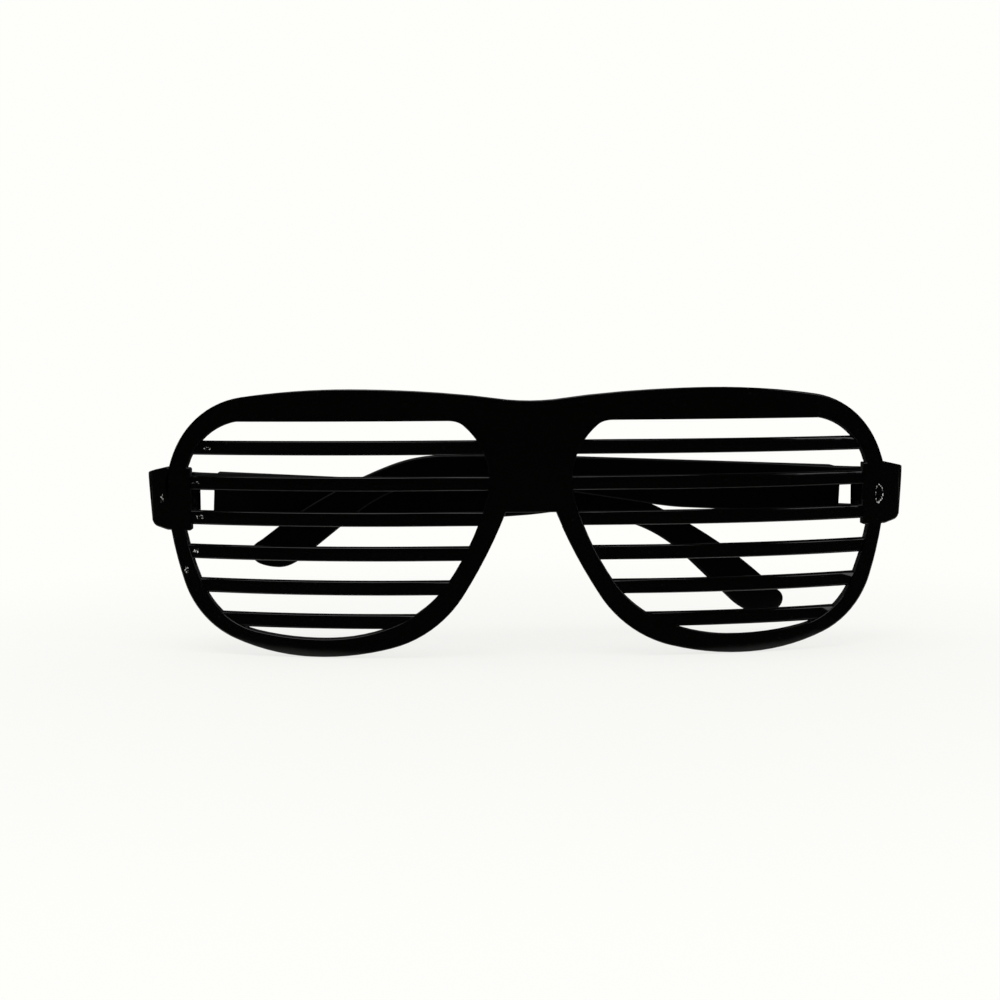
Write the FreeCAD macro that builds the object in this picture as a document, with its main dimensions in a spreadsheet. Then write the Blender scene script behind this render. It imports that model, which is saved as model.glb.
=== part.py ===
import FreeCAD, Part
import math
import os
import re
import Sketcher

# Slatted novelty glasses in millimetres: a wrap-around front with six slats in each eye, two arms that
# fold on screws, one arm lying over the other as when the glasses are put away.
# +X is the wearer's left, +Y runs from the front towards the ears, +Z is up.
# The origin is the middle of the bridge's underside, at the middle of the front's thickness.

os.makedirs("parts", exist_ok=True)
doc = FreeCAD.newDocument("slatted_glasses")

# An outline vertex is given by its place across and up, and by the heading of the curve through it.
sizes = [
    ("plate_thickness", 2.75, "front to back of the rims"),
    ("flat_half_width", 19.25, "middle to where the front starts to wrap"),
    ("wrap_radius", 108.3, "front face of the wrap, seen from above"),
    ("cut_margin", 5.0, "how far a cutting prism runs past what it cuts"),

    ("rim_crown_up", 21.27, "top edge at the middle of the bridge"),
    ("rim_inner_brow_across", 13.27, ""),
    ("rim_inner_brow_up", 22.55, ""),
    ("rim_inner_brow_heading", 5.3, ""),
    ("rim_outer_brow_across", 55.48, ""),
    ("rim_outer_brow_up", 22.21, ""),
    ("rim_outer_brow_heading", -8.0, ""),
    ("rim_temple_across", 71.07, ""),
    ("rim_temple_up", 1.74, ""),
    ("rim_temple_heading", -95.6, ""),
    ("rim_cheek_across", 57.55, ""),
    ("rim_cheek_up", -24.51, ""),
    ("rim_cheek_heading", -158.4, ""),
    ("rim_nose_foot_across", 26.77, ""),
    ("rim_nose_foot_up", -25.89, ""),
    ("rim_nose_foot_heading", -194.3, ""),
    ("rim_saddle_across", 4.81, "half the flat underside of the bridge"),
    ("rim_saddle_heading", -248.1, ""),

    ("eye_top_up", 17.49, "straight top edge of an eye opening"),
    ("eye_top_inner_across", 15.67, ""),
    ("eye_top_outer_across", 56.47, ""),
    ("eye_top_outer_heading", 171.5, ""),
    ("eye_corner_across", 12.82, ""),
    ("eye_corner_up", 16.61, ""),
    ("eye_corner_heading", 220.0, ""),
    ("eye_nose_across", 15.88, ""),
    ("eye_nose_up", -13.45, ""),
    ("eye_nose_heading", 304.6, ""),
    ("eye_bottom_across", 38.04, ""),
    ("eye_bottom_up", -24.15, ""),
    ("eye_bottom_heading", 357.5, ""),
    ("eye_cheek_across", 63.73, ""),
    ("eye_cheek_up", -14.58, ""),
    ("eye_cheek_heading", 65.1, ""),
    ("eye_temple_across", 65.68, ""),
    ("eye_temple_up", 11.05, ""),
    ("eye_temple_heading", 119.0, ""),

    ("slat_count", 6, "slats in each eye"),
    ("slat_pitch", 6.86, "top slat to the next"),
    ("slat_pitch_step", 0.105, "how much less each following pitch is"),
    ("slat_height", 2.75, ""),
    ("slat_thickness", 2.0, "front to back"),
    ("slat_edge_bevel", 0.35, "flat cut along each long edge of a slat"),
    ("slat_first_up", 12.42, "middle of the top slat"),

    ("block_reach", 4.03, "how far an end block stands out past the rim"),
    ("block_overlap", 5.0, "how far an end block runs into the rim"),
    ("block_top_up", 8.5, "top of an end block where it leaves the rim"),
    ("block_top_fall", 0.9, "how far that top falls to its outer corner"),
    ("block_bottom_up", -3.8, "underside of an end block where it leaves the rim"),
    ("block_bottom_rise", 0.9, "how far that underside rises to its outer corner"),
    ("block_side_lean", 0.9, "how far the outer side leans in at the bottom"),
    ("block_top_corner", 0.6, "radius of the upper outer corner"),
    ("block_bottom_corner", 1.5, "radius of the lower outer corner"),
    ("block_front_corner", 1.2, "width of the outer corner seen from above"),
    ("block_front_corner_back", 1.8, "how far back that corner reaches"),
    ("block_wall", 4.5, "wall that runs back to the arm"),

    ("hinge_back", 16.1, "pin behind the middle of the bridge's thickness"),
    ("hinge_up", 2.3, "middle of the hinge"),
    ("hinge_reach", 3.6, "pin to the inner face of the block's wall"),
    ("hinge_tilt", 2.8, "play that lets both arms lie askew, degrees"),
    ("knuckle_radius", 1.9, "lug and fork round the pin"),
    ("lug_height", 5.0, ""),
    ("lug_gap", 0.15, "lug to fork, above and below"),
    ("pin_radius", 0.8, "shank of the screw"),
    ("pin_play", 0.2, "lug bore round the shank, on the radius"),
    ("pin_fit", 0.02, "arm bore round the shank, on the radius"),
    ("butt_reach", 4.65, "pin to the butt face of an arm"),
    ("butt_gap", 0.15, "open arm to the block's wall"),

    ("head_radius", 1.35, "screw head"),
    ("head_height", 0.8, ""),
    ("head_sink", 0.15, "screw head below the arm's top edge"),
    ("slot_width", 0.45, "driver slot in the screw head"),
    ("slot_depth", 0.4, ""),

    ("pad_drop", 3.2, "top of a nose pad below the bridge's underside"),
    ("pad_length", 11.0, "measured down the nose"),
    ("pad_thickness", 1.7, ""),
    ("pad_lean", 27.5, "slope of the nose from upright, degrees"),
    ("pad_edge_radius", 0.7, ""),
    ("pad_depth", 4.0, "how far a nose pad stands behind the rim"),

    ("arm_half_height", 5.0, "arm above and below the pin's middle, at the hinge"),
    ("arm_brow_across", 60.0, "end of the straight top edge"),
    ("arm_brow_up", 4.45, ""),
    ("arm_brow_heading", -0.5, ""),
    ("arm_bend_across", 84.0, "start of the bend over the ear"),
    ("arm_bend_up", 3.65, ""),
    ("arm_bend_heading", -3.1, ""),
    ("arm_ear_across", 94.8, ""),
    ("arm_ear_up", 1.14, ""),
    ("arm_ear_heading", -23.5, ""),
    ("arm_tail_across", 118.9, "end of the tail's upper edge"),
    ("arm_tail_up", -13.9, ""),
    ("arm_tail_heading", -41.0, ""),
    ("arm_tip_across", 121.6, "furthest point of the tip"),
    ("arm_tip_up", -17.0, ""),
    ("arm_tip_heading", -92.0, ""),
    ("arm_toe_across", 116.3, "lowest point of the tip"),
    ("arm_toe_up", -20.05, ""),
    ("arm_toe_heading", 180.0, ""),
    ("arm_sole_across", 111.4, "start of the tail's lower edge"),
    ("arm_sole_up", -17.9, ""),
    ("arm_sole_heading", 138.6, ""),
    ("arm_hollow_across", 101.3, ""),
    ("arm_hollow_up", -9.0, ""),
    ("arm_hollow_heading", 138.6, ""),
    ("arm_waist_across", 79.0, "slimmest part of the arm"),
    ("arm_waist_up", -0.65, ""),
    ("arm_waist_heading", 176.0, ""),
    ("arm_belly_across", 66.1, ""),
    ("arm_belly_up", -1.9, ""),
    ("arm_belly_heading", 186.2, ""),
    ("arm_step_across", 42.0, ""),
    ("arm_step_up", -4.5, ""),
    ("arm_step_heading", 186.2, ""),
    ("arm_keel_along", 34.0, "end of the straight lower edge"),

    ("arm_outer_face", 7.5, "outer face beyond the pin"),
    ("arm_butt_thickness", 3.6, "arm behind its butt face"),
    ("arm_thickness", 3.0, "arm along its length"),
    ("gusset_start", 5.0, "where the fork starts to lean into the arm"),
    ("gusset_end", 16.0, ""),
    ("arm_slim_along", 30.0, "where the arm is down to its thickness"),
    ("arm_bow_along", 75.0, "where the arm starts to bow inwards"),
    ("arm_bow_radius", 265.0, "bow of the outer face, seen from above"),
    ("left_arm_lift", 4.2, "angle by which the outer folded arm stands open"),
]

sheet = doc.addObject("Spreadsheet::Sheet", "sizes")
for row, (name, size, note) in enumerate(sizes, start=1):
    sheet.set(f"A{row}", name)
    sheet.set(f"B{row}", str(size))
    sheet.set(f"C{row}", note)
    sheet.setAlias(f"B{row}", name)
doc.recompute()
size_names = {name for name, size, note in sizes}


def formula(text):
    """The same formula with every size read from the sheet."""
    return re.sub(r"[a-z]\w*", lambda word: "sizes." + word[0] if word[0] in size_names else word[0], text)


def value(text):
    """What a formula of sizes comes to."""
    return float(sheet.evalExpression(formula(text)))


def bind(thing, **formulas):
    """Ties properties to formulas of sizes. A double underscore stands for the dot in a property's name."""
    for name, text in formulas.items():
        thing.setExpression(name.replace("__", "."), formula(text))
    return thing


def place(thing, across="0", back="0", up="0"):
    """Puts a piece at a point given by formulas."""
    return bind(thing, Placement__Base__x=across, Placement__Base__y=back, Placement__Base__z=up)


front_half_width = "(rim_temple_across + block_reach)"
same_place = 0.01      # two places closer than this count as the same
straight_enough = 1e-4      # an arc that turns less than this, in radians, is drawn as a line


# Outlines. A vertex is two formulas for its place, and the headings in degrees with which the curve comes
# in and goes out. Two headings make a smooth span of two arcs, and a missing one makes a straight span.

def through(stem):
    """A smooth vertex from the three sizes with this name."""
    heading = value(stem + "_heading")
    return stem + "_across", stem + "_up", heading, heading


def through_start(stem):
    """The vertex with this name where a curve leaves a straight run."""
    return curve_start(stem + "_across", stem + "_up", value(stem + "_heading"))


def through_end(stem):
    """The vertex with this name where a curve runs into a straight run."""
    return curve_end(stem + "_across", stem + "_up", value(stem + "_heading"))


def smooth(across, up, heading):
    """A vertex where the curve runs on with the same heading."""
    return across, up, heading, heading


def curve_end(across, up, heading):
    """A vertex where a curve comes in and a straight run starts."""
    return across, up, heading, None


def curve_start(across, up, heading):
    """A vertex where a straight run comes in and a curve starts."""
    return across, up, None, heading


def corner(across, up):
    """A vertex between two straight runs."""
    return across, up, None, None


def mirrored(vertices):
    """The same outline on the other side of the middle, travelled the other way round."""
    other_side = []
    for across, up, arrive, depart in reversed(vertices):
        new_arrive = None if depart is None else -depart
        new_depart = None if arrive is None else -arrive
        other_side.append((f"-({across})", up, new_arrive, new_depart))
    return other_side


def direction(heading):
    angle = math.radians(heading)
    return FreeCAD.Vector(math.cos(angle), math.sin(angle), 0)


def meeting_point(start, start_heading, end, end_heading):
    """Where two arcs meet that leave the start and reach the end with the given headings."""
    leaving = direction(start_heading)
    reaching = direction(end_heading)
    chord = end - start
    along = chord.dot(leaving + reaching)
    turn = 2 * (1 - leaving.dot(reaching))
    if turn < straight_enough ** 2:
        reach = chord.dot(chord) / (2 * along)
    else:
        reach = (math.sqrt(along ** 2 + turn * chord.dot(chord)) - along) / turn
    return (start + leaving * reach + end - reaching * reach) / 2


def arc_or_line(start, heading, end):
    """An arc from the start with a heading to the end, whether it turns left, and its last heading."""
    chord = end - start
    half_turn = math.atan2(chord.y, chord.x) - math.radians(heading)
    half_turn = math.remainder(half_turn, 2 * math.pi)
    last_heading = heading + math.degrees(2 * half_turn)
    if abs(half_turn) < straight_enough:
        return Part.LineSegment(start, end), True, last_heading
    radius = chord.Length / (2 * math.sin(half_turn))
    centre = start + direction(heading + 90) * radius
    first = math.radians(heading) - math.copysign(math.pi / 2, radius)
    turns_left = radius > 0
    angles = (first, first + 2 * half_turn) if turns_left else (first + 2 * half_turn, first)
    circle = Part.Circle(centre, FreeCAD.Vector(0, 0, 1), abs(radius))
    return Part.ArcOfCircle(circle, *angles), turns_left, last_heading


def add_outline(sketch, vertices):
    """Draws a closed outline through the vertices, and ties each vertex to the sheet."""
    points = [FreeCAD.Vector(value(across), value(up), 0) for across, up, arrive, depart in vertices]
    pieces = []
    ties = []
    for index, start in enumerate(points):
        following = (index + 1) % len(points)
        end = points[following]
        depart = vertices[index][3]
        arrive = vertices[following][2]
        ties.append(len(pieces))
        if depart is None or arrive is None:
            pieces.append((Part.LineSegment(start, end), True))
            continue
        middle = meeting_point(start, depart, end, arrive)
        first, first_left, heading = arc_or_line(start, depart, middle)
        second, second_left, heading = arc_or_line(middle, heading, end)
        pieces.append((first, first_left))
        pieces.append((second, second_left))
    numbers = sketch.addGeometry([curve for curve, turns_left in pieces], False)
    begins = [1 if turns_left else 2 for curve, turns_left in pieces]
    finishes = [2 if turns_left else 1 for curve, turns_left in pieces]
    for index, number in enumerate(numbers):
        following = (index + 1) % len(numbers)
        sketch.addConstraint(Sketcher.Constraint(
            "Coincident", number, finishes[index], numbers[following], begins[following]))
    for (across, up, arrive, depart), piece, point in zip(vertices, ties, points):
        for kind, text, measure in (("DistanceX", across, point.x), ("DistanceY", up, point.y)):
            tie = sketch.addConstraint(Sketcher.Constraint(
                kind, -1, 1, numbers[piece], begins[piece], measure))
            sketch.setExpression(f"Constraints[{tie}]", formula(text))


standing = FreeCAD.Rotation(FreeCAD.Vector(1, 0, 0), 90)
lying = FreeCAD.Rotation()
towards_back = FreeCAD.Vector(0, 1, 0)
upwards = FreeCAD.Vector(0, 0, 1)


def prism(name, vertices, turned, along, length, **position):
    """An outline drawn standing or lying, and pushed along a direction into a solid."""
    sketch = doc.addObject("Sketcher::SketchObject", name + "_sketch")
    sketch.Placement = FreeCAD.Placement(FreeCAD.Vector(), turned)
    add_outline(sketch, vertices)
    place(sketch, **position)
    solid = doc.addObject("Part::Extrusion", name)
    solid.Base = sketch
    solid.DirMode = "Custom"
    solid.Dir = along
    solid.Solid = True
    return bind(solid, LengthFwd=length)


def box(name, length, width, height, **position):
    solid = doc.addObject("Part::Box", name)
    bind(solid, Length=length, Width=width, Height=height)
    return place(solid, **position)


def cylinder(name, radius, height, **position):
    solid = doc.addObject("Part::Cylinder", name)
    bind(solid, Radius=radius, Height=height)
    return place(solid, **position)


def cut(name, base, *tools):
    solid = doc.addObject("Part::Cut", name)
    solid.Base = base
    solid.Tool = tools[0] if len(tools) == 1 else fuse(name + "_tools", *tools)
    solid.Refine = True
    return solid


def fuse(name, *solids):
    solid = doc.addObject("Part::MultiFuse", name)
    solid.Shapes = list(solids)
    solid.Refine = True
    return solid


def common(name, *solids):
    solid = doc.addObject("Part::MultiCommon", name)
    solid.Shapes = list(solids)
    solid.Refine = True
    return solid


def other_side(name, solid):
    """A mirror image on the other side of the middle."""
    image = doc.addObject("Part::Mirroring", name)
    image.Source = solid
    image.Normal = FreeCAD.Vector(1, 0, 0)
    return image


def finish_edges(kind, name, base, size, is_wanted):
    doc.recompute()
    solid = doc.addObject(kind, name)
    solid.Base = base
    wanted = [number for number, edge in enumerate(base.Shape.Edges, start=1) if is_wanted(edge)]
    solid.Edges = [(number, size, size) for number in wanted]
    return solid


def fillet(name, base, radius, is_wanted):
    """Rounds the edges of a solid that a test picks out."""
    return finish_edges("Part::Fillet", name, base, radius, is_wanted)


def bevel(name, base, width, is_wanted):
    """Bevels the edges of a solid that a test picks out."""
    return finish_edges("Part::Chamfer", name, base, width, is_wanted)


# The wrap, seen from above: flat in the middle, then an arc to each side. A layer of it lies between two
# distances behind the front face.

def wrap_back(across, behind):
    """How far back the wrap lies at a place across, for a layer that far behind the front face."""
    reach = f"(({across}) - flat_half_width)"
    radius = f"(wrap_radius - ({behind}))"
    return f"wrap_radius - sqrt({radius} ^ 2 - {reach} ^ 2) - plate_thickness / 2"


def wrap_heading(across, behind):
    reach = value(f"({across}) - flat_half_width")
    return math.degrees(math.asin(reach / value(f"wrap_radius - ({behind})")))


def wrap_layer(across, near, far):
    """Outline of a layer of the wrap out to a place across, for both sides."""
    front_edge = [
        curve_start("flat_half_width", wrap_back("flat_half_width", near), 0),
        curve_end(across, wrap_back(across, near), wrap_heading(across, near)),
    ]
    back_edge = [
        curve_start(across, wrap_back(across, far), wrap_heading(across, far) + 180),
        curve_end("flat_half_width", wrap_back("flat_half_width", far), 180),
    ]
    right_half = front_edge + back_edge
    return right_half + mirrored(right_half)


# Lengths that only have to be long enough to reach past the piece they cut or meet.
reach_back = "hinge_back + butt_reach + plate_thickness + cut_margin"
full_height = "2 * (rim_outer_brow_up - rim_nose_foot_up)"
below_all = "2 * rim_nose_foot_up"
before_front = "-(plate_thickness / 2 + cut_margin)"

hinge_across = f"({front_half_width} - block_wall - hinge_reach)"
wall_inside = f"({front_half_width} - block_wall)"
beyond_blocks = f"{front_half_width} + cut_margin"
wall_end = "(hinge_back + butt_reach - butt_gap)"


def make_rim_prism():
    """The outline of the rims and the bridge, pushed from front to back."""
    right_half = [
        smooth("0", "rim_crown_up", 0),
        through("rim_inner_brow"),
        through("rim_outer_brow"),
        through("rim_temple"),
        through("rim_cheek"),
        through("rim_nose_foot"),
        curve_end("rim_saddle_across", "0", value("rim_saddle_heading")),
    ]
    outline = right_half + mirrored(right_half[1:])
    return prism("rim_prism", outline, standing, towards_back, reach_back, back=before_front)


def make_eye_prism():
    """The right eye opening, pushed from front to back."""
    outline = [
        smooth("eye_top_inner_across", "eye_top_up", 180),
        through("eye_corner"),
        through("eye_nose"),
        through("eye_bottom"),
        through("eye_cheek"),
        through("eye_temple"),
        curve_end("eye_top_outer_across", "eye_top_up", value("eye_top_outer_heading")),
    ]
    return prism("right_eye_prism", outline, standing, towards_back, reach_back, back=before_front)


def make_slats(rim_prism):
    """The slats of both eyes, as bars that follow the wrap and end inside the rims."""
    recess = "(plate_thickness - slat_thickness) / 2"
    layer = wrap_layer(front_half_width, recess, f"{recess} + slat_thickness")
    shortest_long_edge = value("flat_half_width")
    bars = []
    for number in range(round(value("slat_count"))):
        drop = f"{number} * slat_pitch - {number * (number - 1) / 2} * slat_pitch_step"
        bottom = f"slat_first_up - slat_height / 2 - ({drop})"
        bar = prism(f"slat_{number + 1}_bar", layer, lying, upwards, "slat_height", up=bottom)
        bars.append(bevel(f"slat_{number + 1}", bar, value("slat_edge_bevel"),
                          lambda edge: edge.Length > shortest_long_edge))
    return common("slats", rim_prism, fuse("slat_bars", *bars))


def make_block():
    """The right end block: a corner piece from the rim back to the end of the folded-out arm."""
    root = "(rim_temple_across - block_overlap)"
    silhouette = prism("block_silhouette", [
        corner(root, "block_bottom_up"),
        corner("rim_temple_across", "block_bottom_up"),
        corner(f"{front_half_width} - block_side_lean", "block_bottom_up + block_bottom_rise"),
        corner(front_half_width, "block_top_up - block_top_fall"),
        corner("rim_temple_across", "block_top_up"),
        corner(root, "block_top_up"),
    ], standing, towards_back, reach_back, back=before_front)
    outer = value(f"{front_half_width} - block_side_lean") - same_place
    middle_up = value("(block_top_up + block_bottom_up) / 2")
    silhouette = fillet("block_top_round", silhouette, value("block_top_corner"),
                        lambda edge: runs_back(edge, outer) and edge.CenterOfMass.z > middle_up)
    silhouette = fillet("block_bottom_round", silhouette, value("block_bottom_corner"),
                        lambda edge: runs_back(edge, outer) and edge.CenterOfMass.z < middle_up)
    turn = f"({front_half_width} - block_front_corner)"
    plan = prism("block_plan", [
        curve_start(root, wrap_back(root, "0"), wrap_heading(root, "0")),
        smooth(turn, wrap_back(turn, "0"), wrap_heading(turn, "0")),
        curve_end(front_half_width, wrap_back(turn, "0") + " + block_front_corner_back", 90),
        corner(front_half_width, wall_end),
        corner(wall_inside, wall_end),
        curve_start(wall_inside, wrap_back(wall_inside, "plate_thickness"),
                    wrap_heading(wall_inside, "plate_thickness") + 180),
        curve_end(root, wrap_back(root, "plate_thickness"), wrap_heading(root, "plate_thickness") + 180),
    ], lying, upwards, full_height, up=below_all)
    return common("right_block", silhouette, plan)


def runs_back(edge, outer):
    """Whether an edge runs from front to back at least that far out."""
    return edge.BoundBox.YLength > edge.BoundBox.ZLength + 1 and edge.CenterOfMass.x > outer


def make_lug():
    """The solid lug of the right hinge, on the inner face of the block's wall."""
    underside = "hinge_up - lug_height / 2"
    barrel = cylinder("lug_barrel", "knuckle_radius", "lug_height",
                      across=hinge_across, back="hinge_back", up=underside)
    neck = box("lug_neck", "hinge_reach + block_wall / 2", "2 * knuckle_radius", "lug_height",
               across=hinge_across, back="hinge_back - knuckle_radius", up=underside)
    return fuse("right_lug", barrel, neck)


def make_pad(rim_prism):
    """The small nose pad moulded on the back of the right rim, along the side of the nose."""
    def slope(drop):
        return f"rim_saddle_across + pad_thickness + ({drop}) * tan(pad_lean)"

    bottom = "pad_drop + pad_length"
    outline = [
        corner("0", f"-({bottom})"),
        corner(slope(bottom), f"-({bottom})"),
        corner(slope("pad_drop"), "-pad_drop"),
        corner("0", "-pad_drop"),
    ]
    pad = prism("pad_prism", outline, standing, towards_back, "plate_thickness / 2 + pad_depth")
    rear = value("plate_thickness / 2 + pad_depth")
    return fillet("right_pad", common("square_pad", pad, rim_prism), value("pad_edge_radius"),
                  lambda edge: edge.CenterOfMass.y > rear - same_place)


def make_front():
    rim_prism = make_rim_prism()
    layer = wrap_layer(beyond_blocks, "0", "plate_thickness")
    plate = prism("plate_layer", layer, lying, upwards, full_height, up=below_all)
    right_eye = make_eye_prism()
    left_eye = other_side("left_eye_prism", right_eye)
    rims = cut("rims", common("wrapped_plate", rim_prism, plate), right_eye, left_eye)
    right_side = fuse("right_side", make_block(), make_lug(), make_pad(rim_prism))
    left_side = other_side("left_side", right_side)
    right_bore = cylinder("right_lug_bore", "pin_radius + pin_play", "lug_height + 2 * cut_margin",
                          across=hinge_across, back="hinge_back", up="hinge_up - lug_height / 2 - cut_margin")
    left_bore = other_side("left_lug_bore", right_bore)
    moulding = fuse("moulding", rims, make_slats(rim_prism), right_side, left_side)
    return cut("front", moulding, right_bore, left_bore)


# Arms. An arm is drawn with its pin at the origin, running along +X with its outer face towards +Y, as the
# folded left arm lies. The right arm is its mirror image.

def bow_depth(along, radius):
    return f"({radius} - sqrt(({radius}) ^ 2 - (({along}) - arm_bow_along) ^ 2))"


def bow_heading(along, radius):
    return -math.degrees(math.asin(value(f"(({along}) - arm_bow_along) / ({radius})")))


def make_arm_blank():
    """An arm without its fork slot and bore: its side view and its plan, each as a prism, in common."""
    end = "-2 * knuckle_radius"
    side_view = [
        corner(end, "arm_half_height"),
        through_start("arm_brow"),
        through("arm_bend"),
        through("arm_ear"),
        through("arm_tail"),
        through("arm_tip"),
        through("arm_toe"),
        through_end("arm_sole"),
        through_start("arm_hollow"),
        through("arm_waist"),
        through_end("arm_belly"),
        through_start("arm_step"),
        curve_end("arm_keel_along", "-arm_half_height", 180),
        corner(end, "-arm_half_height"),
    ]
    tall = prism("arm_side_view", side_view, standing, towards_back, "4 * arm_outer_face",
                 back="-2 * arm_outer_face")
    inner_face = "arm_outer_face - arm_thickness"
    tip = "arm_tip_across + cut_margin"
    inner_radius = "(arm_bow_radius - arm_thickness)"
    plan = [
        corner("gusset_start", "-knuckle_radius"),
        corner("gusset_end", "arm_outer_face - arm_butt_thickness"),
        corner("arm_slim_along", inner_face),
        curve_start("arm_bow_along", inner_face, 0),
        curve_end(tip, f"{inner_face} - {bow_depth(tip, inner_radius)}", bow_heading(tip, inner_radius)),
        curve_start(tip, f"arm_outer_face - {bow_depth(tip, 'arm_bow_radius')}",
                    bow_heading(tip, "arm_bow_radius") + 180),
        curve_end("arm_bow_along", "arm_outer_face", 180),
        corner("butt_reach", "arm_outer_face"),
        corner("butt_reach", "knuckle_radius"),
        curve_start("0", "knuckle_radius", 180),
        smooth("-knuckle_radius", "0", 270),
        curve_end("0", "-knuckle_radius", 0),
    ]
    flat = prism("arm_plan", plan, lying, upwards, "8 * arm_half_height", up="-6 * arm_half_height")
    return common("arm_blank", tall, flat)


def make_arm(name, blank, across, fold):
    """One arm on its pin, skewed by the play of its hinge, with a fork slot and a bore for the screw."""
    half_slot = "(lug_height / 2 + lug_gap)"
    slot = box(name + "_slot", "butt_reach + 2 * knuckle_radius", "4 * arm_outer_face", f"2 * {half_slot}",
               across="-2 * knuckle_radius", back="-2 * arm_outer_face", up=f"-{half_slot}")
    if value(across) > 0:
        slot = other_side(name + "_mirrored_slot", slot)
    bore = cylinder(name + "_bore", "pin_radius + pin_fit", "4 * arm_half_height", up="-2 * arm_half_height")
    head_seat = cylinder(name + "_head_seat", "head_radius + pin_fit", "cut_margin",
                         up="arm_half_height - head_sink - head_height")
    arm = cut(name, blank, slot, bore, head_seat)
    return hang(arm, across, fold)


def make_screw(name, across, fold):
    """A slotted screw, head up, that is the pin of a hinge."""
    seat = "arm_half_height - head_sink - head_height"
    shank_end = "-arm_half_height + head_sink"
    shank = cylinder(name + "_shank", "pin_radius", f"{seat} - ({shank_end})", up=shank_end)
    head = cylinder(name + "_head", "head_radius", "head_height", up=seat)
    slot = box(name + "_slot", "4 * head_radius", "slot_width", "cut_margin",
               across="-2 * head_radius", back="-slot_width / 2",
               up="arm_half_height - head_sink - slot_depth")
    screw = cut(name, fuse(name + "_blank", shank, head), slot)
    return hang(screw, across, fold)


def hang(thing, across, fold):
    """Puts a piece on its pin: folded open by an angle, then skewed by the play of the hinge."""
    tilt = "rotation(vector(0; 1; 0); hinge_tilt)"
    opened = f"rotation(vector(0; 0; 1); {fold})"
    return bind(thing, Placement=f"placement(vector({across}; hinge_back; hinge_up); {tilt} * {opened})")


def check(thing):
    """Stops when a piece is missing or broken."""
    shape = thing.Shape
    if shape.isNull() or not shape.isValid():
        raise RuntimeError(thing.Label + " is not a valid shape")
    if len(shape.Solids) != 1:
        raise RuntimeError(f"{thing.Label} has {len(shape.Solids)} solids")


left_blank = make_arm_blank()
right_blank = other_side("right_arm_blank", left_blank)
pieces = [
    make_front(),
    make_arm("left_arm", left_blank, f"-{hinge_across}", "left_arm_lift"),
    make_arm("right_arm", right_blank, hinge_across, "0"),
    make_screw("left_hinge_screw", f"-{hinge_across}", "left_arm_lift"),
    make_screw("right_hinge_screw", hinge_across, "0"),
]
doc.recompute()
for thing in doc.Objects:
    if "Invalid" in thing.State or "Error" in thing.State:
        raise RuntimeError(f"{thing.Label}: {thing.State}")
for piece in pieces:
    check(piece)
for piece in pieces:
    piece.Shape.exportStep(f"parts/{piece.Label}.step")
    box_text = ", ".join(f"{length:.1f}" for length in (
        piece.Shape.BoundBox.XLength, piece.Shape.BoundBox.YLength, piece.Shape.BoundBox.ZLength))
    print(f"{piece.Label}: {piece.Shape.Volume:.1f} cubic mm, {box_text} mm")
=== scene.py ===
import math

import bmesh
import bpy
from mathutils import Matrix, Vector


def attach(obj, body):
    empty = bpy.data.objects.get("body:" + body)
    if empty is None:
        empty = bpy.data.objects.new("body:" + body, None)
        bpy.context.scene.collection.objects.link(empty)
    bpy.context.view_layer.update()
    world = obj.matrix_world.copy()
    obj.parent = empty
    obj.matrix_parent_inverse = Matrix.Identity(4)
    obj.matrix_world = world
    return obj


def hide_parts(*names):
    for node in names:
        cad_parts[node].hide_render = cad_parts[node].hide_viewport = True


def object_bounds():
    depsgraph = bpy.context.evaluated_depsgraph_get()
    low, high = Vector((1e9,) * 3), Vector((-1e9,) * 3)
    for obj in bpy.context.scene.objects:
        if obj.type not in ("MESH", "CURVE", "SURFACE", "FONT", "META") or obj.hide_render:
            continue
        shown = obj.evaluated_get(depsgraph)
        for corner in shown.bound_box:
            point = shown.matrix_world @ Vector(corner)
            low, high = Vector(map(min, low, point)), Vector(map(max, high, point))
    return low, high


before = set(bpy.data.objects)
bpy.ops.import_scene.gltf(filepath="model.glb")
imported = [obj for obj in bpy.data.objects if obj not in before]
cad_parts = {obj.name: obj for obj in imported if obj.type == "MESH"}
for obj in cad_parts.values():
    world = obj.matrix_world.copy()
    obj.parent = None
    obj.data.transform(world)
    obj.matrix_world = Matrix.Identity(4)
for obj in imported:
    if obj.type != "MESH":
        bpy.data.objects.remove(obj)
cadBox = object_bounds()
print("frame loaded")


def addObject(name, data):
    item = bpy.data.objects.new(name, data)
    bpy.context.scene.collection.objects.link(item)
    return item


# The view that was fitted to the photograph, as turns about the object's own axes.
camera = {
    "pitch": 4.498,  # degrees, looking a little down on the glasses
    "yaw": 1.882,
    "roll": 0.383,
    "distance": 0.3332,
    "right": 0.002126,  # how far the object's middle lies right of the lens axis
    "up": -0.0000075,
    "middle": (0.0, -0.0014, 0.0001),  # the fit's own origin, in the part's frame
    "lens": 63.04,
    "sensor": 36,
    "shiftX": -0.020,
    "shiftY": 0.012,
    "nearest": 0.01,
}


def makeCamera(view):
    turn = (Matrix.Rotation(math.radians(-view["roll"]), 3, "Y")
            @ Matrix.Rotation(math.radians(view["pitch"]), 3, "X")
            @ Matrix.Rotation(math.radians(view["yaw"]), 3, "Z"))
    back = turn.transposed()
    place = back @ Vector((-view["right"], -view["distance"], -view["up"])) + Vector(view["middle"])
    across, ahead, above = back.col
    data = bpy.data.cameras.new("camera")
    data.lens = view["lens"]
    data.sensor_width = view["sensor"]
    data.sensor_fit = "HORIZONTAL"
    data.shift_x = view["shiftX"]
    data.shift_y = view["shiftY"]
    data.clip_start = view["nearest"]
    eye = addObject("camera", data)
    axes = Matrix((across, above, -ahead)).transposed().to_4x4()
    eye.matrix_world = Matrix.Translation(place) @ axes
    bpy.context.scene.camera = eye


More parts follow.
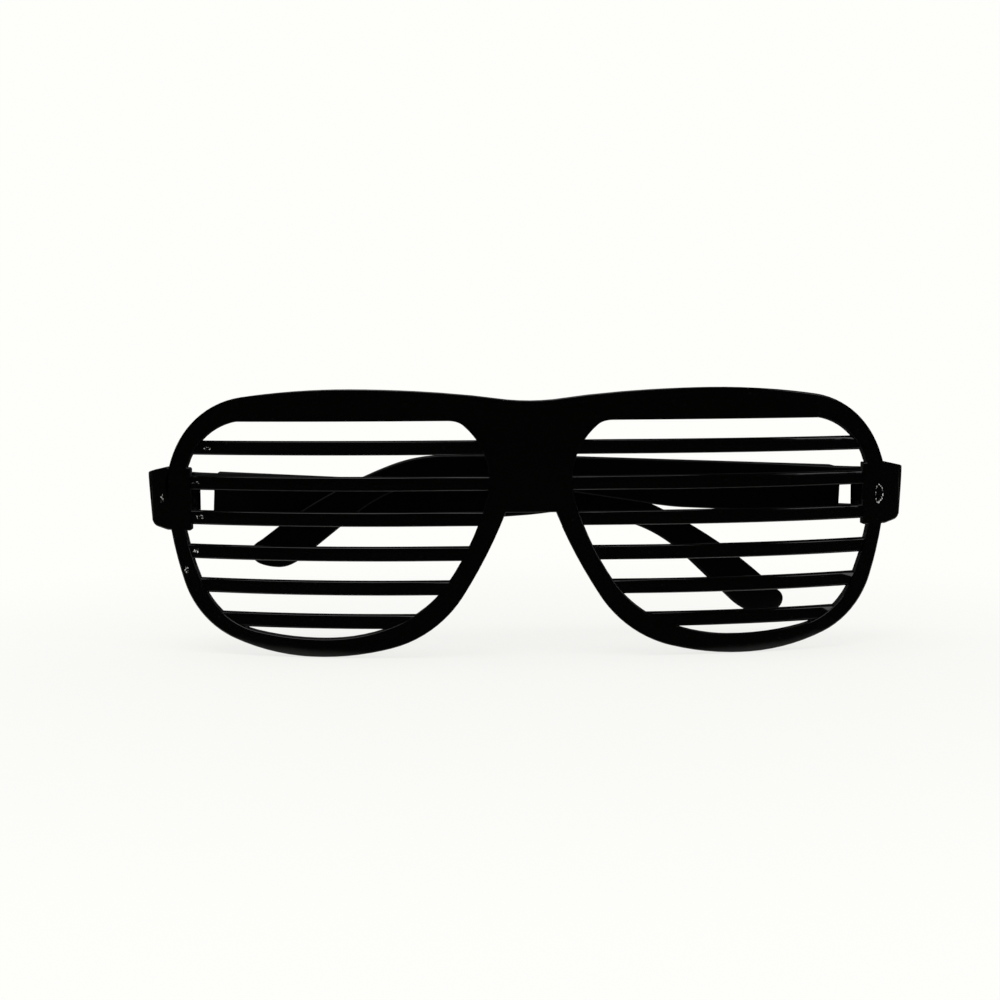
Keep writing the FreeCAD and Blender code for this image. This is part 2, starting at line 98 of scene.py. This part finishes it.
makeCamera(camera)
print("camera placed")


def addNode(tree, kind, **values):
    node = tree.nodes.new(kind)
    for label, value in values.items():
        if label in node.inputs:
            node.inputs[label].default_value = value
        else:
            setattr(node, label, value)
    return node


def addRange(tree, low, high, toLow=0.0, toHigh=1.0, smooth=False):
    node = addNode(tree, "ShaderNodeMapRange", interpolation_type="SMOOTHSTEP" if smooth else "LINEAR")
    for label, value in (("From Min", low), ("From Max", high), ("To Min", toLow), ("To Max", toHigh)):
        node.inputs[label].default_value = value
    return node


def mixColors(tree, mask, color, otherColor):
    mix = addNode(tree, "ShaderNodeMix", data_type="RGBA")
    mix.inputs[6].default_value = (*color, 1)  # the node's colour sockets are inputs 6 and 7
    mix.inputs[7].default_value = (*otherColor, 1)
    tree.links.new(mask, mix.inputs[0])
    return mix.outputs[2]


def newMaterial(name):
    material = bpy.data.materials.new(name)
    material.use_nodes = True
    return material, material.node_tree, material.node_tree.nodes["Principled BSDF"]


def newGroup(name, inputs, outputs):
    group = bpy.data.node_groups.new(name, "ShaderNodeTree")
    for label, start in inputs.items():
        socket = group.interface.new_socket(name=label, in_out="INPUT", socket_type="NodeSocketFloat")
        socket.default_value = start
    group.interface.new_socket(name="Position", in_out="INPUT", socket_type="NodeSocketVector")
    for label in outputs:
        group.interface.new_socket(name=label, in_out="OUTPUT", socket_type="NodeSocketFloat")
    return group, group.nodes.new("NodeGroupInput"), group.nodes.new("NodeGroupOutput")


# What a mould and use leave on the plastic: slow waves, fine orange peel, hairline scratches and dust.
# The plastic froze unevenly where the slats run into the rims, so the peel is stronger there.
mouldedSkin = {
    "inputs": {"Wave size": 90.0, "Wave height": 0.5, "Peel size": 900.0, "Scratches": 0.5},
    "waveDetail": 2.0, "waveRough": 0.45,
    "peelDetail": 3.0, "peelRough": 0.6,
    "calmWithin": 0.0605, "rippledBeyond": 0.066,  # distances from the middle of the glasses
    "calmPeel": 0.02, "rippledPeel": 0.04,
    "hairTurn": (0.1, 0.35, 0.6), "hairStretch": (60, 2600, 2600), "hairDetail": 1.0,
    "hairFrom": 0.71, "hairFull": 0.75, "hairDepth": 0.02,
    "dustScale": 420.0, "dustFrom": 0.085, "dustFull": 0.05,
}


def mouldedSurface(skin):
    group, start, end = newGroup("mouldedSurface", skin["inputs"], ("Height", "Scratch mask", "Dust mask"))
    link = group.links.new
    position = start.outputs["Position"]

    waves = addNode(group, "ShaderNodeTexNoise", Detail=skin["waveDetail"], Roughness=skin["waveRough"])
    waveHeight = addNode(group, "ShaderNodeMath", operation="MULTIPLY")
    link(position, waves.inputs["Vector"])
    link(start.outputs["Wave size"], waves.inputs["Scale"])
    link(waves.outputs["Fac"], waveHeight.inputs[0])
    link(start.outputs["Wave height"], waveHeight.inputs[1])

    peel = addNode(group, "ShaderNodeTexNoise", Detail=skin["peelDetail"], Roughness=skin["peelRough"])
    sides = addNode(group, "ShaderNodeSeparateXYZ")
    outward = addNode(group, "ShaderNodeMath", operation="ABSOLUTE")
    peelHeight = addRange(group, skin["calmWithin"], skin["rippledBeyond"], skin["calmPeel"],
                          skin["rippledPeel"], smooth=True)
    withPeel = addNode(group, "ShaderNodeMath", operation="MULTIPLY_ADD")
    link(position, peel.inputs["Vector"])
    link(start.outputs["Peel size"], peel.inputs["Scale"])
    link(position, sides.inputs["Vector"])
    link(sides.outputs["X"], outward.inputs[0])
    link(outward.outputs["Value"], peelHeight.inputs["Value"])
    link(peel.outputs["Fac"], withPeel.inputs[0])
    link(peelHeight.outputs["Result"], withPeel.inputs[1])
    link(waveHeight.outputs["Value"], withPeel.inputs[2])

    stretch = addNode(group, "ShaderNodeMapping", Rotation=skin["hairTurn"], Scale=skin["hairStretch"])
    hairs = addNode(group, "ShaderNodeTexNoise", Detail=skin["hairDetail"], Scale=1.0)
    hairEdge = addRange(group, skin["hairFrom"], skin["hairFull"])
    scratched = addNode(group, "ShaderNodeMath", operation="MULTIPLY")
    carved = addNode(group, "ShaderNodeMath", operation="MULTIPLY_ADD")
    carved.inputs[1].default_value = -skin["hairDepth"]
    link(position, stretch.inputs["Vector"])
    link(stretch.outputs["Vector"], hairs.inputs["Vector"])
    link(hairs.outputs["Fac"], hairEdge.inputs["Value"])
    link(hairEdge.outputs["Result"], scratched.inputs[0])
    link(start.outputs["Scratches"], scratched.inputs[1])
    link(scratched.outputs["Value"], carved.inputs[0])
    link(withPeel.outputs["Value"], carved.inputs[2])

    dust = addNode(group, "ShaderNodeTexVoronoi", Scale=skin["dustScale"])
    dustEdge = addRange(group, skin["dustFrom"], skin["dustFull"])
    link(position, dust.inputs["Vector"])
    link(dust.outputs["Distance"], dustEdge.inputs["Value"])

    link(carved.outputs["Value"], end.inputs["Height"])
    link(scratched.outputs["Value"], end.inputs["Scratch mask"])
    link(dustEdge.outputs["Result"], end.inputs["Dust mask"])
    return group


surfaceGroup = mouldedSurface(mouldedSkin)

# Gloss black plastic of the front, and the same plastic with a duller skin on the arms.
frontFinish = {
    "slot": "front_plastic", "color": (0.0008, 0.0009, 0.0007), "dustColor": (0.006, 0.006, 0.006),
    "rough": 0.1, "scratchedRough": 0.3, "specular": 0.35, "coat": 0.2, "coatRough": 0.05,
    "waveSize": 110.0, "waveHeight": 0.6, "peelSize": 1400.0, "scratches": 0.6,
    "bump": 0.0006, "bumpStrength": 0.35,
}
armFinish = {
    "slot": "arm_plastic", "color": (0.0008, 0.0009, 0.0008), "dustColor": (0.005, 0.005, 0.005),
    "rough": 0.32, "scratchedRough": 0.44, "specular": 0.12, "coat": 0.0, "coatRough": 0.1,
    "waveSize": 80.0, "waveHeight": 0.5, "peelSize": 1200.0, "scratches": 0.8,
    "bump": 0.0006, "bumpStrength": 0.35,
}


def plastic(name, finish):
    material, tree, shader = newMaterial(name)
    link = tree.links.new
    shader.inputs["Specular IOR Level"].default_value = finish["specular"]
    shader.inputs["Coat Weight"].default_value = finish["coat"]
    shader.inputs["Coat Roughness"].default_value = finish["coatRough"]
    place = addNode(tree, "ShaderNodeTexCoord")
    surface = addNode(tree, "ShaderNodeGroup", node_tree=surfaceGroup)
    surface.inputs["Wave size"].default_value = finish["waveSize"]
    surface.inputs["Wave height"].default_value = finish["waveHeight"]
    surface.inputs["Peel size"].default_value = finish["peelSize"]
    surface.inputs["Scratches"].default_value = finish["scratches"]
    gloss = addRange(tree, 0.0, 1.0, finish["rough"], finish["scratchedRough"])
    bump = addNode(tree, "ShaderNodeBump", Distance=finish["bump"], Strength=finish["bumpStrength"])
    tint = mixColors(tree, surface.outputs["Dust mask"], finish["color"], finish["dustColor"])
    link(place.outputs["Object"], surface.inputs["Position"])
    link(tint, shader.inputs["Base Color"])
    link(surface.outputs["Scratch mask"], gloss.inputs["Value"])
    link(gloss.outputs["Result"], shader.inputs["Roughness"])
    link(surface.outputs["Height"], bump.inputs["Height"])
    link(bump.outputs["Normal"], shader.inputs["Normal"])
    return material


# Turned steel of the screws, with fine marks and a little tarnish.
screwFinish = {
    "slot": "screw_steel", "color": (0.42, 0.42, 0.43), "tarnished": 0.6,  # share of the colour that stays
    "tarnishScale": 900.0, "tarnishDetail": 3.0, "smoothest": 0.2, "roughest": 0.4,
    "markScale": 2600.0, "markDetail": 2.0, "bump": 0.0001, "bumpStrength": 0.4,
}


def steel(name, finish):
    material, tree, shader = newMaterial(name)
    link = tree.links.new
    shader.inputs["Metallic"].default_value = 1
    place = addNode(tree, "ShaderNodeTexCoord")
    tarnish = addNode(tree, "ShaderNodeTexNoise", Scale=finish["tarnishScale"],
                      Detail=finish["tarnishDetail"])
    shade = addNode(tree, "ShaderNodeValToRGB")
    shade.color_ramp.elements[0].color = (*[part * finish["tarnished"] for part in finish["color"]], 1)
    shade.color_ramp.elements[1].color = (*finish["color"], 1)
    gloss = addRange(tree, 0.0, 1.0, finish["smoothest"], finish["roughest"])
    marks = addNode(tree, "ShaderNodeTexNoise", Scale=finish["markScale"], Detail=finish["markDetail"])
    bump = addNode(tree, "ShaderNodeBump", Distance=finish["bump"], Strength=finish["bumpStrength"])
    link(place.outputs["Object"], tarnish.inputs["Vector"])
    link(tarnish.outputs["Fac"], shade.inputs["Fac"])
    link(shade.outputs["Color"], shader.inputs["Base Color"])
    link(tarnish.outputs["Fac"], gloss.inputs["Value"])
    link(gloss.outputs["Result"], shader.inputs["Roughness"])
    link(place.outputs["Object"], marks.inputs["Vector"])
    link(marks.outputs["Fac"], bump.inputs["Height"])
    link(bump.outputs["Normal"], shader.inputs["Normal"])
    return material


# Mouldings and screws: each is a copy of the frame's solid with its sharp edges rounded.
# The nose pads, hinge lugs and forks keep the edges of the solid, as their own corners are already small.
frontMoulding = {
    "node": "front", "body": "front", "slot": frontFinish["slot"],
    "round": 0.0003, "sharp": 55, "steps": 3,  # only edges sharper than this, in degrees, are rounded
    "padReach": 0.017, "padFront": 0.00139,
    "lugInner": 0.0635, "lugOuter": 0.0705, "lugFront": 0.0125,
}
leftArmMoulding = {
    "node": "left_arm", "body": "left_arm", "slot": armFinish["slot"],
    "round": 0.0005, "sharp": 40, "steps": 3,
    "forkInner": 0.0585, "forkMiddle": 0.0023, "forkHalf": 0.0036,
}
rightArmMoulding = dict(leftArmMoulding, node="right_arm", body="right_arm")
leftScrew = {
    "node": "left_hinge_screw", "body": "left_arm", "slot": screwFinish["slot"],
    "round": 0.00008, "sharp": 50, "steps": 2,
}
rightScrew = dict(leftScrew, node="right_hinge_screw", body="right_arm")
facets = {
    "mergeWithin": 0.000002,
    "flatWithin": 1,  # degrees between the triangles of one flat face
    "faceWeight": 60,  # above 50, large faces count for more in the smoothing
}


def keepsEdge(moulding, edge):
    middle = (edge.verts[0].co + edge.verts[1].co) / 2
    if "forkInner" in moulding:
        besideFork = abs(middle.z - moulding["forkMiddle"]) < moulding["forkHalf"]
        return abs(middle.x) > moulding["forkInner"] and besideFork
    if "padReach" not in moulding:
        return False
    inPad = abs(middle.x) < moulding["padReach"] and middle.y > moulding["padFront"]
    besideLug = moulding["lugInner"] < abs(middle.x) < moulding["lugOuter"]
    return inPad or (besideLug and middle.y > moulding["lugFront"])


def roundedMoulding(name, moulding, material):
    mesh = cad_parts[moulding["node"]].data.copy()
    mesh.name = name
    shape = bmesh.new()
    shape.from_mesh(mesh)
    bmesh.ops.remove_doubles(shape, verts=shape.verts, dist=facets["mergeWithin"])
    bmesh.ops.dissolve_limit(shape, angle_limit=math.radians(facets["flatWithin"]), verts=shape.verts,
                             edges=shape.edges, delimit=set())
    sharpest = math.radians(moulding["sharp"])
    sharp = [edge for edge in shape.edges
             if edge.is_manifold and edge.calc_face_angle_signed() > sharpest
             and not keepsEdge(moulding, edge)]
    bmesh.ops.bevel(shape, geom=sharp, offset=moulding["round"], offset_type="OFFSET",
                    segments=moulding["steps"], profile=0.5, affect="EDGES", clamp_overlap=False,
                    material=-1, loop_slide=True)
    bmesh.ops.triangulate(shape, faces=[face for face in shape.faces if len(face.verts) > 4])
    for face in shape.faces:
        face.smooth = True
    shape.to_mesh(mesh)
    print(name, len(shape.faces), "faces", len(sharp), "rounded edges")
    shape.free()
    mesh.materials.clear()
    mesh.materials.append(material)
    piece = addObject(name, mesh)
    level = piece.modifiers.new("level", "WEIGHTED_NORMAL")
    level.keep_sharp = False
    level.weight = facets["faceWeight"]
    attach(piece, moulding["body"])
    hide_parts(moulding["node"])


blackFront = plastic("glossBlackFront", frontFinish)
blackArm = plastic("glossBlackArm", armFinish)
roundedMoulding("slattedFront", frontMoulding, blackFront)
roundedMoulding("leftArm", leftArmMoulding, blackArm)
roundedMoulding("rightArm", rightArmMoulding, blackArm)
print("mouldings rounded")

screwSteel = steel("turnedSteel", screwFinish)
roundedMoulding("leftHingeScrew", leftScrew, screwSteel)
roundedMoulding("rightHingeScrew", rightScrew, screwSteel)
print("screws finished")

# A ragged raised ring on the front of the right end block, read as the place where the plastic was fed in.
# Its light grey patches are painted highlight, standing for glints on the ring.
glintingGateMark = {
    "body": "front", "slot": frontFinish["slot"],
    "across": 0.0694, "up": 0.0022,
    "behind": 0.0,  # how far its ground lies behind the face of the rims
    "radius": 0.00125,
    "tall": 1.4,  # height to width, before the left half shrinks to its share
    "leftShare": 0.45,
    "wire": 0.00012, "wireSides": 8, "steps": 96, "mergeWithin": 0.000001,
    "ragged": 0.00013, "wander": ((2, 0.7, 0.3), (9, 2.1, 0.45), (17, 0.0, 0.45)),  # turns, start, share
    "sunk": 0.2, "broken": 0.95, "beads": 8, "beadStart": 1.3,  # sunk and broken are shares of the wire
    "flat": 0.01925, "wrap": 0.1083, "half": 0.001375,  # the front's flat middle, wrap and half thickness
    # The light grey colour below is a painted highlight, laid where the noise mask is high.
    "color": (0.002, 0.002, 0.002), "paintedGlintColor": (0.9, 0.9, 0.88), "rough": 0.4,
    "glintScale": 1900.0, "glintDetail": 3.0, "glintFrom": 0.47, "glintFull": 0.55,
    "bump": 0.0001, "bumpStrength": 0.6,
}

# Small raised ragged rings where the left slats run into the rim, and on the left rim and end block, read
# as wrinkles in the plastic. Their light grey patches are painted highlight, standing for the glints there.
glintWrinkle = dict(glintingGateMark, behind=0.000375, radius=0.00036, tall=0.7, wire=0.00015, ragged=0.00022,
               leftShare=1.6, steps=48, broken=1.05, beads=1.5)
glintWrinkles = {
    "slatGlintWrinkle1": dict(glintWrinkle, across=-0.0624, up=0.0123, radius=0.0006, tall=0.45, leftShare=1.2,
                         beads=2.5),
    "slatGlintWrinkle2": dict(glintWrinkle, across=-0.0647, up=0.0056, tall=0.5),
    "slatGlintWrinkle3": dict(glintWrinkle, across=-0.0641, up=-0.0011, radius=0.00045, beads=2),
    "slatGlintWrinkle4": dict(glintWrinkle, across=-0.0650, up=-0.0077, radius=0.0003, tall=1.1),
    "rimGlintWrinkle": dict(glintWrinkle, across=-0.0672, up=-0.0115, behind=0.0, radius=0.0003, tall=1.8,
                       wire=0.0001, leftShare=1.0, beads=2.5),
    "blockGlintWrinkle": dict(glintWrinkle, across=-0.0721, up=0.0024, behind=0.0, radius=0.00025, tall=2.2,
                         wire=0.00009, leftShare=1.0, beads=2),
}


# Near-black plastic with light grey patches where a noise mask is high. The light grey is a painted
# highlight standing for glints, and the same noise drives the bump.
def paintedGlintPlastic(name, mark):
    material, tree, shader = newMaterial(name)
    link = tree.links.new
    shader.inputs["Roughness"].default_value = mark["rough"]
    place = addNode(tree, "ShaderNodeTexCoord")
    paintedGlintNoise = addNode(tree, "ShaderNodeTexNoise", Scale=mark["glintScale"], Detail=mark["glintDetail"])
    paintedGlintMask = addRange(tree, mark["glintFrom"], mark["glintFull"])
    bump = addNode(tree, "ShaderNodeBump", Distance=mark["bump"], Strength=mark["bumpStrength"])
    tint = mixColors(tree, paintedGlintMask.outputs["Result"], mark["color"], mark["paintedGlintColor"])
    link(place.outputs["Object"], paintedGlintNoise.inputs["Vector"])
    link(paintedGlintNoise.outputs["Fac"], paintedGlintMask.inputs["Value"])
    link(tint, shader.inputs["Base Color"])
    link(paintedGlintNoise.outputs["Fac"], bump.inputs["Height"])
    link(bump.outputs["Normal"], shader.inputs["Normal"])
    return material


def raggedWire(vert, mark):
    around = math.atan2(vert.co.y, vert.co.x)
    push = mark["ragged"] * sum(math.sin(turns * around + start) * share
                                for turns, start, share in mark["wander"])
    bead = math.sin(mark["beads"] * around + mark["beadStart"]) ** 2
    vert.co.x += push * math.cos(around)
    vert.co.y = (vert.co.y + push * math.sin(around)) * mark["tall"]
    vert.co.z -= mark["wire"] * (mark["sunk"] + mark["broken"] * bead)
    if vert.co.x < 0:
        vert.co.x *= mark["leftShare"]


# Turns a mark that lies in the XY plane on to the wrapped face of the front.
def laidOnFront(mark):
    reach = abs(mark["across"]) - mark["flat"]
    radius = mark["wrap"] - mark["behind"]
    heading = math.copysign(math.asin(reach / radius), mark["across"])
    back = mark["wrap"] - math.sqrt(radius ** 2 - reach ** 2) - mark["half"]
    turn = Matrix(((math.cos(heading), 0, math.sin(heading)),
                   (math.sin(heading), 0, -math.cos(heading)),
                   (0, 1, 0)))
    return turn, Vector((mark["across"], back, mark["up"]))


def raggedMark(name, mark):
    shape = bmesh.new()
    bmesh.ops.create_circle(shape, cap_ends=False, radius=mark["wire"], segments=mark["wireSides"])
    bmesh.ops.rotate(shape, verts=shape.verts, cent=(0, 0, 0), matrix=Matrix.Rotation(math.pi / 2, 3, "X"))
    bmesh.ops.translate(shape, verts=shape.verts, vec=(mark["radius"], 0, 0))
    bmesh.ops.spin(shape, geom=shape.verts[:] + shape.edges[:], cent=(0, 0, 0), axis=(0, 0, 1),
                   dvec=(0, 0, 0), angle=2 * math.pi, steps=mark["steps"], use_merge=True)
    bmesh.ops.remove_doubles(shape, verts=shape.verts, dist=mark["mergeWithin"])
    turn, place = laidOnFront(mark)
    for vert in shape.verts:
        raggedWire(vert, mark)
        vert.co = turn @ vert.co + place
    bmesh.ops.recalc_face_normals(shape, faces=shape.faces)
    for face in shape.faces:
        face.smooth = True
    mesh = bpy.data.meshes.new(name)
    shape.to_mesh(mesh)
    shape.free()
    mesh.materials.append(paintedGlintPlastic(name + "Finish", mark))
    piece = addObject(name, mesh)
    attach(piece, mark["body"])


raggedMark("glintingGateMark", glintingGateMark)
for name, mark in glintWrinkles.items():
    raggedMark(name, mark)
print("gate mark and wrinkles made")

# White paper all round, as the camera sees it.
paper = {"color": (0.991, 0.993, 0.966), "glow": 1.0}

# A pale floor that keeps the shadow near the glasses and fades into the paper.
# Gloss mirrors it dimly, apart from a bright strip below the slats.
paleFloor = {
    "radius": 0.6, "sides": 96, "below": 0.0001,
    "color": (0.93, 0.93, 0.905), "rough": 0.9, "specular": 0.1,
    "nearPaper": 0.78, "farPaper": 1.0, "fadeFrom": 0.06, "fadeTo": 0.2,
    "mirrored": 0.012, "stripMiddle": 0.012, "stripReach": 0.009, "stripFade": 0.012,
}


def makeFloor(floor):
    shape = bmesh.new()
    bmesh.ops.create_circle(shape, cap_ends=True, radius=floor["radius"], segments=floor["sides"])
    bmesh.ops.translate(shape, verts=shape.verts, vec=(0, 0, cadBox[0][2] - floor["below"]))
    mesh = bpy.data.meshes.new("floor")
    shape.to_mesh(mesh)
    shape.free()
    material, tree, shader = newMaterial("paleFloor")
    link = tree.links.new
    shader.inputs["Base Color"].default_value = (*floor["color"], 1)
    shader.inputs["Roughness"].default_value = floor["rough"]
    shader.inputs["Specular IOR Level"].default_value = floor["specular"]
    place = addNode(tree, "ShaderNodeTexCoord")
    path = addNode(tree, "ShaderNodeLightPath")

    # What gloss mirrors: dim beyond the strip.
    depth = addNode(tree, "ShaderNodeSeparateXYZ")
    offStrip = addNode(tree, "ShaderNodeMath", operation="SUBTRACT")
    offStrip.inputs[1].default_value = floor["stripMiddle"]
    fromStrip = addNode(tree, "ShaderNodeMath", operation="ABSOLUTE")
    beyondStrip = addRange(tree, floor["stripReach"], floor["stripReach"] + floor["stripFade"], smooth=True)
    mirrored = addNode(tree, "ShaderNodeMath", operation="MULTIPLY")
    dim = addNode(tree, "ShaderNodeEmission", Strength=floor["mirrored"])
    forMirror = addNode(tree, "ShaderNodeMixShader")
    link(place.outputs["Object"], depth.inputs["Vector"])
    link(depth.outputs["Y"], offStrip.inputs[0])
    link(offStrip.outputs["Value"], fromStrip.inputs[0])
    link(fromStrip.outputs["Value"], beyondStrip.inputs["Value"])
    link(beyondStrip.outputs["Result"], mirrored.inputs[0])
    link(path.outputs["Is Glossy Ray"], mirrored.inputs[1])
    link(mirrored.outputs["Value"], forMirror.inputs["Fac"])
    link(shader.outputs["BSDF"], forMirror.inputs[1])
    link(dim.outputs["Emission"], forMirror.inputs[2])

    # What the camera sees: mostly paper, and only paper far from the glasses.
    reach = addNode(tree, "ShaderNodeVectorMath", operation="LENGTH")
    fade = addRange(tree, floor["fadeFrom"], floor["fadeTo"], floor["nearPaper"], floor["farPaper"],
                    smooth=True)
    seen = addNode(tree, "ShaderNodeMath", operation="MULTIPLY")
    white = addNode(tree, "ShaderNodeEmission", Strength=paper["glow"], Color=(*paper["color"], 1))
    forCamera = addNode(tree, "ShaderNodeMixShader")
    link(place.outputs["Object"], reach.inputs[0])
    link(reach.outputs["Value"], fade.inputs["Value"])
    link(fade.outputs["Result"], seen.inputs[0])
    link(path.outputs["Is Camera Ray"], seen.inputs[1])
    link(seen.outputs["Value"], forCamera.inputs["Fac"])
    link(forMirror.outputs["Shader"], forCamera.inputs[1])
    link(white.outputs["Emission"], forCamera.inputs[2])
    link(forCamera.outputs["Shader"], tree.nodes["Material Output"].inputs["Surface"])
    mesh.materials.append(material)
    addObject("floor", mesh)


# White for the camera, even light on the glasses, and nearly dark where gloss mirrors it.
surround = {"ambient": 0.55, "mirroredFront": 0.006, "mirroredBack": 0.025, "frontEnds": -0.15,
            "backStarts": 0.35}


def makeSurround(around):
    world = bpy.data.worlds.new("surround")
    bpy.context.scene.world = world
    world.use_nodes = True
    tree = world.node_tree
    link = tree.links.new
    room = tree.nodes["Background"]
    room.inputs["Color"].default_value = (1, 1, 1, 1)
    room.inputs["Strength"].default_value = around["ambient"]
    white = addNode(tree, "ShaderNodeBackground", Strength=paper["glow"], Color=(*paper["color"], 1))
    mirror = addNode(tree, "ShaderNodeBackground", Color=(1, 1, 1, 1))
    place = addNode(tree, "ShaderNodeTexCoord")
    split = addNode(tree, "ShaderNodeSeparateXYZ")
    toBack = addRange(tree, around["frontEnds"], around["backStarts"], around["mirroredFront"],
                      around["mirroredBack"], smooth=True)
    path = addNode(tree, "ShaderNodeLightPath")
    forMirror = addNode(tree, "ShaderNodeMixShader")
    forCamera = addNode(tree, "ShaderNodeMixShader")
    link(place.outputs["Generated"], split.inputs["Vector"])
    link(split.outputs["Y"], toBack.inputs["Value"])
    link(toBack.outputs["Result"], mirror.inputs["Strength"])
    link(path.outputs["Is Glossy Ray"], forMirror.inputs["Fac"])
    link(room.outputs["Background"], forMirror.inputs[1])
    link(mirror.outputs["Background"], forMirror.inputs[2])
    link(path.outputs["Is Camera Ray"], forCamera.inputs["Fac"])
    link(forMirror.outputs["Shader"], forCamera.inputs[1])
    link(white.outputs["Background"], forCamera.inputs[2])
    link(forCamera.outputs["Shader"], tree.nodes["World Output"].inputs["Surface"])


# Soft lamps that point at the middle of the glasses.
lamps = {
    "overhead": {"from": (-0.15, -0.1, 0.9), "size": (0.7, 0.7), "power": 3.4},
    "rightSoft": {"from": (0.7, -0.45, 0.35), "size": (0.25, 0.4), "power": 0.6},
}


def makeLamp(name, lamp):
    data = bpy.data.lights.new(name, "AREA")
    data.shape = "RECTANGLE"
    data.size, data.size_y = lamp["size"]
    data.energy = lamp["power"]
    item = addObject(name, data)
    item.location = lamp["from"]
    item.rotation_euler = (-Vector(lamp["from"])).to_track_quat("-Z", "Y").to_euler()
    item.visible_camera = False


makeFloor(paleFloor)
makeSurround(surround)
for name, lamp in lamps.items():
    makeLamp(name, lamp)
bpy.context.scene.view_settings.view_transform = "Standard"
print("studio lit")
